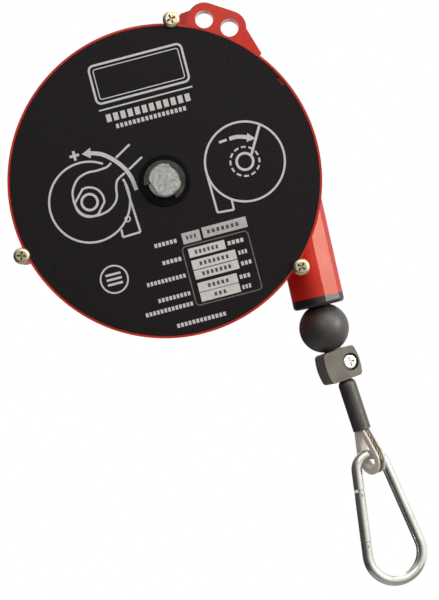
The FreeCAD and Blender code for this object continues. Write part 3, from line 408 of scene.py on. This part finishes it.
def make_red_paint():
    """Glossy paint over a rough casting."""
    m = Shader("red_paint")
    tone = m.ramp(m.noise(60, 4), [(0.3, linear(200, 34, 22)), (0.7, linear(214, 50, 30))])
    cast = m.noise(900, 3, 0.6)
    peel = m.noise(260, 2, 0.5)
    m.set(Base_Color=tone, Roughness=m.level(m.noise(120), 0.26, 0.38), Coat_Weight=0.25,
          Coat_Roughness=0.12, Specular_IOR_Level=0.4, Specular_Tint=(1.0, 0.82, 0.66, 1.0),
          Normal=m.bump(cast, 0.1, 0.00008, m.bump(peel, 0.12, 0.0002)))
    return m


def make_black_plate():
    """Black coat with a fine sandy grain."""
    m = Shader("black_plate")
    grain = m.noise(1500, 3, 0.75)
    tone = m.ramp(grain, [(0.38, linear(4, 2, 4)), (0.66, linear(43, 37, 41))])
    m.set(Base_Color=tone, Roughness=m.level(m.noise(45, 4), 0.42, 0.52),
          Specular_IOR_Level=0.16, Normal=m.bump(grain, 0.6, 0.0002))
    return m


def make_plastic(name, dark, light, rough, gloss=0.5):
    """Moulded plastic with a fine even grain."""
    m = Shader(name)
    tone = m.ramp(m.noise(90, 4), [(0.3, dark), (0.7, light)])
    m.set(Base_Color=tone, Roughness=m.level(m.noise(140), rough - 0.06, rough + 0.06),
          Specular_IOR_Level=gloss, Normal=m.bump(m.noise(2800, 3, 0.6), 0.4, 0.0001))
    return m


def make_plate(name, dark, light, rough, streak=(1, 1, 1), grain=900, depth=0.00006):
    """Plated or machined metal, with fine lines where the streak is stretched, and painted shade
    darkening it in recesses.
    """
    m = Shader(name)
    lines = m.noise(grain, 4, 0.6, m.stretched(streak))
    tone = m.ramp(m.noise(150, 4, 0.6), [(0.3, dark), (0.7, light)])
    # painted shade: in recesses and crevices, such as screw crosses, hinge lines and between rope
    # strands, the tone darkens to a dark brown-grey
    unshaded_share = m.level(m.recess_shade(0.0012), 0.25, 1.0, 0.2, 0.7)
    tone = m.mix(unshaded_share, linear(40, 36, 32), tone)
    m.set(Base_Color=tone, Metallic=1.0,
          Roughness=m.level(lines, rough - 0.07, rough + 0.1),
          Normal=m.bump(lines, 0.3, depth))
    return m


def make_yellow_zinc():
    """Zinc with a thin yellow film, and painted shade making its recesses dark brown and less
    metallic.
    """
    m = Shader("zinc_yellow")
    film = m.noise(420, 3, 0.6)
    tone = m.ramp(film, [(0.28, linear(214, 186, 128)), (0.5, linear(236, 224, 186)),
                         (0.72, linear(222, 208, 178))])
    # painted shade: in recesses, such as the screws' crosses, the colour turns dark brown and less
    # metallic
    unshaded_share = m.level(m.recess_shade(0.0015), 0.0, 1.0, 0.35, 0.85)
    m.set(Base_Color=m.mix(unshaded_share, linear(62, 42, 26), tone),
          Metallic=m.level(unshaded_share, 0.2, 1.0, 0.0, 1.0),
          Roughness=m.level(m.noise(600), 0.2, 0.34), Normal=m.bump(m.noise(1800), 0.2, 0.00004))
    return m


def make_shaft_steel():
    """Sheared steel end, dull and mottled."""
    m = Shader("shaft_steel")
    mottle = m.noise(620, 4, 0.6)
    tone = m.ramp(mottle, [(0.32, linear(156, 158, 152)), (0.5, linear(184, 184, 179)),
                           (0.7, linear(214, 216, 208))])
    m.set(Base_Color=tone, Metallic=1.0, Roughness=m.level(m.noise(500, 4), 0.34, 0.5),
          Normal=m.bump(mottle, 0.5, 0.00016))
    return m


def make_rubber():
    """Dull mottled rubber."""
    m = Shader("rubber_black")
    mottle = m.noise(110, 5, 0.65)
    tone = m.ramp(mottle, [(0.3, linear(42, 37, 34)), (0.7, linear(66, 60, 56))])
    m.set(Base_Color=tone, Roughness=m.level(m.noise(260, 4), 0.4, 0.56),
          Specular_IOR_Level=0.9, Normal=m.bump(m.noise(1500, 3, 0.6), 0.35, 0.00012))
    return m


def make_nylon():
    """White nylon that lets a little light in."""
    m = Shader("nylon_white")
    tone = m.ramp(m.noise(140, 3), [(0.3, linear(232, 220, 206)), (0.7, linear(246, 240, 232))])
    m.set(Base_Color=tone, Roughness=0.32, Subsurface_Weight=0.35, Subsurface_Scale=0.004,
          Subsurface_Radius=(1.0, 0.7, 0.5), Transmission_Weight=0.08, IOR=1.5,
          Normal=m.bump(m.noise(700, 3), 0.15, 0.0001))
    return m


def make_print():
    """Pale print, worn through in specks."""
    m = Shader("print_grey")
    worn = m.noise(1500, 3, 0.7)
    tone = m.ramp(worn, [(0.3, linear(170, 168, 170)), (0.42, linear(218, 217, 219)),
                         (0.8, linear(228, 227, 229))])
    m.set(Base_Color=tone, Roughness=0.5, Normal=m.bump(worn, 0.2, 0.00003))
    return m


def make_label(name, light, dark):
    """Smooth printed film or ink, a little uneven."""
    m = Shader(name)
    tone = m.ramp(m.noise(900, 3, 0.6), [(0.3, dark), (0.6, light)])
    m.set(Base_Color=tone, Roughness=0.42, Normal=m.bump(m.noise(2200), 0.15, 0.00003))
    return m


MATERIALS = {
    "red_paint": make_red_paint(),
    "black_plate": make_black_plate(),
    "black_plastic": make_plastic("black_plastic", linear(20, 17, 17), linear(34, 31, 30), 0.28,
                                  0.7),
    "zinc_yellow": make_yellow_zinc(),
    "steel": make_plate("steel", linear(168, 166, 160), linear(198, 197, 192), 0.3),
    "zinc_bright": make_plate("zinc_bright", linear(218, 215, 206), linear(244, 242, 236), 0.17,
                              (4, 4, 0.6), 500, 0.00003),
    "spring_steel": make_plate("spring_steel", linear(84, 90, 100), linear(122, 126, 134), 0.3),
    "drum_alloy": make_plate("drum_alloy", linear(150, 152, 154), linear(186, 188, 190), 0.35,
                             (1, 8, 1)),
    "bronze": make_plate("bronze", linear(150, 112, 66), linear(184, 146, 92), 0.35),
    "wire_rope": make_plate("wire_rope", linear(108, 98, 84), linear(168, 158, 142), 0.35,
                            (1, 1, 1), 2200),
    "rubber_black": make_rubber(),
    "clamp_plastic": make_plastic("clamp_plastic", linear(94, 89, 82), linear(120, 116, 107), 0.45),
    "nylon_white": make_nylon(),
}
PRINT = make_print()
LABEL = make_label("label_white", linear(232, 231, 230), linear(214, 213, 213))
LABEL_GREY = make_label("label_grey", linear(206, 205, 204), linear(186, 186, 186))
INK = make_label("ink_dark", linear(66, 62, 62), linear(104, 100, 98))
TABLE_LINE = make_label("table_line", linear(120, 118, 120), linear(84, 82, 84))
# nodes that look different from the rest of their material slot
SPECIAL = {
    "retaining_ring": make_plate("oiled_steel", linear(60, 59, 56), linear(100, 98, 94), 0.24),
    "cover_bush": make_plastic("bush_black", linear(6, 4, 5), linear(18, 15, 16), 0.4, 0.08),
    "main_shaft": make_shaft_steel(),
}


def dress_nodes():
    """Every CAD node gets the look of its material slot, or its own."""
    for part in frame["record"]["subparts"]:
        node = nodes[part["node"]]
        node.data.materials.clear()
        look = SPECIAL.get(part["node"]) or MATERIALS[part["material_slot"]]
        node.data.materials.append(look.material)


# ---------------------------------------------------------------- print on the cover
PRINT_TURN = math.radians(2.0)
# in mm: height of the print, rise with each point drawn, marks over their boxes, line width
PRINT_HEIGHT = 0.04
NEXT_HEIGHT = 0.0001
VALUES_LIFT = 0.045
LINE = 1.25


def on_cover(u, v, lift=0.0):
    """A point of the printed design, in mm from the drum axis, as a point in the frame."""
    x = u * math.cos(PRINT_TURN) - v * math.sin(PRINT_TURN)
    z = u * math.sin(PRINT_TURN) + v * math.cos(PRINT_TURN)
    return Vector((DRUM.x + x * MM, FACE_Y - lift * MM, DRUM.z + z * MM))


def next_top(mesh):
    """Height of the next printed line, in mm: each lies a little over the last, so that
    crossings stay clean."""
    return PRINT_HEIGHT + NEXT_HEIGHT * len(mesh.verts)


def band(mesh, left, right, closed):
    """A flat raised strip between two rows of points."""
    rings = []
    top = next_top(mesh)
    for a, b in zip(left, right):
        rings.append([mesh.verts.new(on_cover(*spot, lift)) for spot, lift in
                      ((a, 0.0), (a, top), (b, top), (b, 0.0))])
    count = len(rings)
    for index in range(count if closed else count - 1):
        one, two = rings[index], rings[(index + 1) % count]
        for side in range(4):
            mesh.faces.new((one[side], one[(side + 1) % 4], two[(side + 1) % 4], two[side]))
    if not closed:
        mesh.faces.new(rings[0])
        mesh.faces.new(reversed(rings[-1]))


def stroke(mesh, points, width=LINE, closed=False):
    """A flat raised line of even width along points."""
    left, right = [], []
    count = len(points)
    for index, (u, v) in enumerate(points):
        before = points[index - 1] if closed or index else points[index]
        after = points[(index + 1) % count] if closed or index < count - 1 else points[index]
        du, dv = after[0] - before[0], after[1] - before[1]
        size = math.hypot(du, dv)
        nu, nv = -dv / size * width / 2, du / size * width / 2
        left.append((u + nu, v + nv))
        right.append((u - nu, v - nv))
    band(mesh, left, right, closed)


def arc(centre, radius, start, end, steps):
    """Points on a circle from one angle to another, in degrees."""
    return [(centre[0] + radius * math.cos(math.radians(start + (end - start) * k / steps)),
             centre[1] + radius * math.sin(math.radians(start + (end - start) * k / steps)))
            for k in range(steps + 1)]


def ring(mesh, centre, radius, width=LINE, steps=96):
    stroke(mesh, arc(centre, radius, 0, 360, steps)[:-1], width, closed=True)


def rounded_box(left, bottom, right, top, corner):
    """Outline of a box with round corners."""
    points = []
    for u, v, start in ((right - corner, top - corner, 0), (left + corner, top - corner, 90),
                        (left + corner, bottom + corner, 180),
                        (right - corner, bottom + corner, 270)):
        points += arc((u, v), corner, start, start + 90, 6)
    return points


def patch(mesh, corners):
    """A flat raised many-sided shape."""
    top = next_top(mesh)
    upper = [mesh.verts.new(on_cover(u, v, top)) for u, v in corners]
    lower = [mesh.verts.new(on_cover(u, v, 0.0)) for u, v in corners]
    mesh.faces.new(upper)
    mesh.faces.new(reversed(lower))
    count = len(corners)
    for k in range(count):
        mesh.faces.new((upper[k], lower[k], lower[(k + 1) % count], upper[(k + 1) % count]))


def block(mesh, left, bottom, right, top):
    patch(mesh, [(left, bottom), (right, bottom), (right, top), (left, top)])


def row_of_blocks(mesh, left, bottom, right, high, width, gap):
    """Plain short blocks side by side, as dense as small print."""
    count = max(1, round((right - left + gap) / (width + gap)))
    pitch = (right - left + gap) / count
    for k in range(count):
        block(mesh, left + pitch * k, bottom, left + pitch * (k + 1) - gap, bottom + high)


def smooth_line(points, steps=6):
    """A smooth line through points."""
    result = []
    for k in range(len(points) - 1):
        a = points[max(k - 1, 0)]
        b, c = points[k], points[k + 1]
        d = points[min(k + 2, len(points) - 1)]
        for step in range(steps):
            t = step / steps
            result.append(tuple(
                0.5 * (2 * b[i] + (c[i] - a[i]) * t
                       + (2 * a[i] - 5 * b[i] + 4 * c[i] - d[i]) * t * t
                       + (3 * b[i] - a[i] - 3 * c[i] + d[i]) * t ** 3) for i in (0, 1)))
    result.append(points[-1])
    return result


def sharp_line(mesh, points):
    """Straight runs drawn one by one, so that corners stay sharp."""
    for a, b in zip(points, points[1:]):
        stroke(mesh, [a, b])


def draw_tension_symbol(mesh):
    """Ring with a spanner on the adjuster's nut and a bent arrow towards the plus sign."""
    middle = (-46.1, -0.8)
    stroke(mesh, arc(middle, 23.9, 56, 380, 90))
    ring(mesh, middle, 4.7, 1.5, 40)
    nut = arc(middle, 8.7, -15, 104, 24) + arc(middle, 8.7, 169.5, 291.5, 24)
    stroke(mesh, nut, closed=True)
    head = [(-28.0, 18.4), (-29.9, 17.1), (-32.2, 16.4), (-37.8, 16.1), (-43.2, 16.3),
            (-49.3, 14.2), (-53.8, 8.7), (-55.0, 3.0), (-54.3, -2.6), (-51.0, -7.4),
            (-44.5, -9.6), (-36.9, -8.6), (-31.7, -5.1), (-29.6, -1.4), (-28.8, 3.2),
            (-26.9, 7.6), (-21.6, 10.6)]
    stroke(mesh, smooth_line(head))
    stroke(mesh, [(-24.4, 20.6), (-14.6, 26.2)])
    stroke(mesh, [(-18.7, 12.0), (-9.4, 17.1)])
    sweep = [(-38.2, 27.0), (-31.9, 24.6), (-25.9, 19.6), (-21.3, 13.6), (-18.7, 7.4),
             (-17.8, 1.6), (-17.5, -0.9)]
    stroke(mesh, smooth_line(sweep), 2.4)
    patch(mesh, [(-37.6, 30.2), (-43.4, 27.8), (-38.8, 24.0)])
    u, v = -47.9, 27.9
    for wide, high in ((2.9, 0.8), (0.8, 2.9)):
        block(mesh, u - wide, v - high, u + wide, v + high)
    sharp_line(mesh, [(-23.0, 4.3), (-21.5, -25.5), (-32.3, -25.9), (-32.1, -21.2)])
    ring(mesh, (-26.9, -16.2), 1.5, 0.8, 20)


def draw_release_symbol(mesh):
    """Ring with a toothed wheel, a rope and an arrow away from the minus sign."""
    middle = (48.7, -0.9)
    ring(mesh, middle, 23.6)
    ring(mesh, middle, 4.9, 1.5, 40)
    teeth = 12
    for k in range(teeth):
        start = 360 / teeth * k + 12
        stroke(mesh, arc(middle, 8.6, start, start + 19, 6), 1.1)
    stroke(mesh, [(62.3, 17.4), (53.0, 1.3)], 1.5)
    stroke(mesh, smooth_line([(43.2, 14.3), (47.3, 14.4), (51.4, 13.4), (53.8, 12.4)]), 2.3)
    stroke(mesh, [(36.8, 13.8), (41.5, 14.2)], 1.5)
    patch(mesh, [(54.3, 15.0), (58.2, 10.6), (52.6, 10.0)])
    sharp_line(mesh, [(25.0, 1.2), (25.4, -26.0), (35.2, -26.8), (35.4, -20.8)])


def draw_heading(mesh):
    """Plain outlined panel over rows of short blocks, in the place of a heading."""
    left, bottom, right, top, inset = -27.0, 53.6, 29.5, 76.5, 2.4
    stroke(mesh, rounded_box(left, bottom, right, top, 3.0), 1.3, closed=True)
    stroke(mesh, rounded_box(left + inset, bottom + inset, right - inset, top - inset, 1.4), 0.6,
           closed=True)
    block(mesh, -27, 49.4, 30, 50.3)
    row_of_blocks(mesh, -24, 42.0, 27, 4.6, 2.9, 1.4)
    row_of_blocks(mesh, -19.5, 37.2, 23, 2.6, 1.6, 0.9)


def draw_table_frame(mesh):
    """Rounded frame of the rating table."""
    stroke(mesh, rounded_box(-0.4, -76.2, 39.6, -40.6, 2.2), 0.7, closed=True)


def draw_captions(mesh):
    """Rows of short blocks where captions would stand."""
    for left, bottom, right in ((-15.7, -37.0, -2.3), (-13.7, -48.0, -2.3), (-25.8, -58.2, -2.3),
                                (-21.7, -69.0, -2.3), (-31.0, -75.3, -2.3), (-14.7, -86.0, 15.0),
                                (26.5, -46.4, 36.0), (31.2, -53.4, 36.4), (31.2, -60.0, 37.4),
                                (28.4, -67.4, 34.6), (28.4, -73.6, 33.6)):
        row_of_blocks(mesh, left, bottom, right, 2.4, 1.6, 0.7)


def draw_guide_symbol(mesh):
    """Ring with three bars, in the place of the sign for a manual."""
    ring(mesh, (-43.6, -48.6), 8.1, 1.0, 48)
    for k in range(3):
        block(mesh, -48.2, -52.0 + 2.9 * k, -39.0, -50.6 + 2.9 * k)


def draw_table_boxes(mesh):
    """Plain boxes in the table, where values would stand."""
    for corners in ((2.8, -47.9, 24.9, -42.4), (2.9, -55.3, 29.7, -49.6),
                    (2.9, -61.2, 29.7, -55.8), (3.1, -68.9, 27.0, -63.3),
                    (3.1, -74.7, 27.0, -69.3)):
        block(mesh, *corners)


def draw_number_boxes(mesh):
    """The two plain boxes above the table."""
    for corners in ((1.3, -39.2, 12.2, -32.6), (13.7, -38.6, 40.6, -32.2)):
        block(mesh, *corners)


def draw_values(mesh):
    """Short dark marks in the boxes."""
    for left, bottom, right in ((6.5, -46.4, 20.5), (7.5, -53.6, 25.0), (7.5, -59.7, 25.0),
                                (9.0, -67.3, 21.5), (11.5, -73.2, 18.5), (16.5, -36.6, 35.5),
                                (3.6, -36.9, 9.6)):
        row_of_blocks(mesh, left, bottom, right, 2.3, 1.5, 1.2)


def make_print_pieces():
    """Every printed area is a piece of its own on the housing."""
    for name, draw, look, lift in (
            ("print_tension_symbol", draw_tension_symbol, PRINT, 0.0),
            ("print_release_symbol", draw_release_symbol, PRINT, 0.0),
            ("print_heading", draw_heading, PRINT, 0.0),
            ("print_table_frame", draw_table_frame, TABLE_LINE, 0.0),
            ("print_captions", draw_captions, PRINT, 0.0),
            ("print_guide_symbol", draw_guide_symbol, PRINT, 0.0),
            ("label_table", draw_table_boxes, LABEL, 0.0),
            ("label_numbers", draw_number_boxes, LABEL_GREY, 0.0),
            ("label_values", draw_values, INK, VALUES_LIFT)):
        mesh = bmesh.new()
        draw(mesh)
        bmesh.ops.translate(mesh, verts=mesh.verts, vec=(0, -lift * MM, 0))
        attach(make_piece(name, mesh, look), "housing")


# ---------------------------------------------------------------- surroundings
WHITE = (1, 1, 1)
WORLD_FILL = 0.3
# reflections get paler towards this side, from 0 opposite it to 1 on it
BRIGHT_SIDE = (0.85, 0.0, 0.53)
MIRRORED_TONES = ((0.0, 0.05), (0.3, 0.1), (0.52, 0.5), (0.72, 1.0))
FLOOR_RADIUS = 4.0
FLOOR_GAP = 0.05
FLOOR_TONE = 0.86
# share of plain white in what the camera sees of the floor
FLOOR_GLOW = 0.75
LAMP_TARGET = from_drum(20, 0, -50)
# place in m, diameter in m, power in W, colour
LAMPS = {
    "key": ((1.75, -0.85, 0.22), 1.0, 25, (1.0, 0.93, 0.8)),
    "fill": ((0.2, -2.2, 0.9), 1.2, 5, WHITE),
    "near": ((0.42, -0.48, 0.38), 0.35, 0.75, (1.0, 0.97, 0.93)),
    "top": ((0.3, 0.5, 1.7), 1.0, 5, WHITE),
    "back": ((0.2, 1.9, 0.2), 1.2, 3, WHITE),
}


def make_world():
    """White where the camera sees it, dim as fill, and in reflections paler to one side."""
    world = bpy.data.worlds.new("studio")
    bpy.context.scene.world = world
    world.use_nodes = True
    world.node_tree.nodes.clear()
    w = NodeTree(world.node_tree)
    rays = w.add("LightPath").outputs
    fill = w.light("Background", Color=opaque(WHITE), Strength=WORLD_FILL)
    shown = w.light("Background", Color=opaque(WHITE), Strength=1.0)
    direct = w.combine("Math", "MAXIMUM", rays["Is Camera Ray"], rays["Is Transmission Ray"])
    slant = w.combine("VectorMath", "DOT_PRODUCT", w.add("TexCoord").outputs["Generated"],
                      BRIGHT_SIDE, "Value")
    tone = w.ramp(w.level(slant, 0, 1, -1, 1), [(spot, (t, t, t)) for spot, t in MIRRORED_TONES])
    mirrored = w.light("Background", Color=tone, Strength=1.0)
    w.add("OutputWorld", Surface=w.either(rays["Is Glossy Ray"], w.either(direct, fill, shown),
                                          mirrored))


def make_floor():
    """Pale disc below the hook's lowest reach, shown to the camera nearly white."""
    mesh = bmesh.new()
    bmesh.ops.create_circle(mesh, cap_ends=True, segments=96, radius=FLOOR_RADIUS)
    data = bpy.data.meshes.new("floor")
    mesh.to_mesh(data)
    mesh.free()
    floor = show("floor", data)
    floor.location = (DRUM.x, 0, cad_bounds[0][2] - ROPE_TRAVEL - FLOOR_GAP)
    m = Shader("floor_white")
    m.set(Base_Color=opaque([FLOOR_TONE] * 3), Roughness=0.9)
    share = m.combine("Math", "MULTIPLY", m.add("LightPath").outputs["Is Camera Ray"], FLOOR_GLOW)
    m.feed(m.tree.nodes["Material Output"].inputs["Surface"],
           m.either(share, m.body.outputs[0], m.light("Emission")))
    data.materials.append(m.material)


def make_lights():
    for name, (spot, size, power, colour) in LAMPS.items():
        data = bpy.data.lights.new(name, "AREA")
        data.color = colour
        data.shape = "DISK"
        data.size = size
        data.energy = power
        lamp = show(name, data)
        lamp.location = spot
        lamp.rotation_euler = (LAMP_TARGET - Vector(spot)).to_track_quat("-Z", "Y").to_euler()
        lamp.visible_camera = False


bpy.context.scene.view_settings.view_transform = "Standard"
make_camera()
make_ropes()
make_pawl_coil()
dress_nodes()
make_print_pieces()
make_world()
make_floor()
make_lights()
